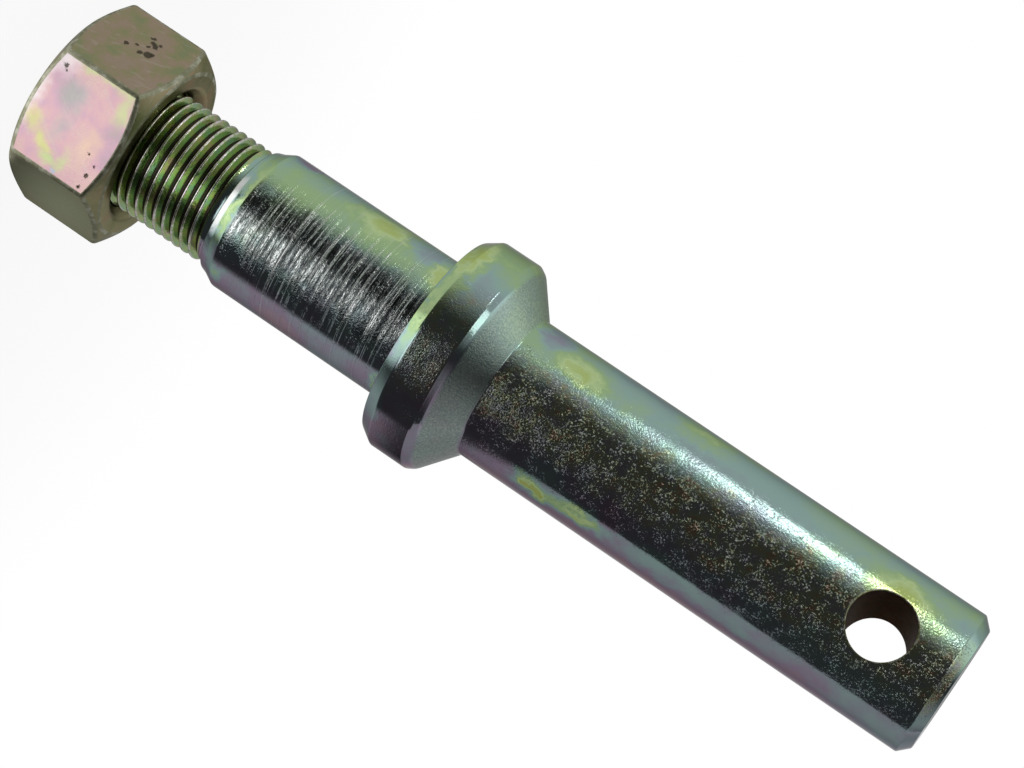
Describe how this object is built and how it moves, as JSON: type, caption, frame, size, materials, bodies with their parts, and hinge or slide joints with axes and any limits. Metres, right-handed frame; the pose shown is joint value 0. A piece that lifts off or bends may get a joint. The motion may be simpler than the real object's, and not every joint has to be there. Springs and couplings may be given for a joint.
{
  "type": "hitch pin",
  "caption": "Lower-link hitch pin: a steel pin with a linchpin hole, a conical collar, a bracket shoulder and a threaded stud with its hexagon nut.",
  "frame": {"origin": "centre of the nut's outer face, on which the part stands", "axes": "+Z along the pin, from the nut to the pin's free end; +X along the linchpin hole"},
  "size_m": [0.043, 0.043, 0.191],
  "materials": {
    "pin_steel": "polished steel, zinc plated with a yellow iridescent passivation",
    "nut_steel": "satin zinc plate with a yellow iridescent passivation"
  },
  "bodies": {
    "pin": {"hitch_pin": "pin_steel"},
    "nut": {"hex_nut": "nut_steel"}
  },
  "joints": [
    {"name": "nut_turn", "type": "hinge", "parent": "pin", "child": "nut", "pos_m": [0, 0, 0.01025], "axis": [0, 0, 1], "continuous": true}
  ]
}
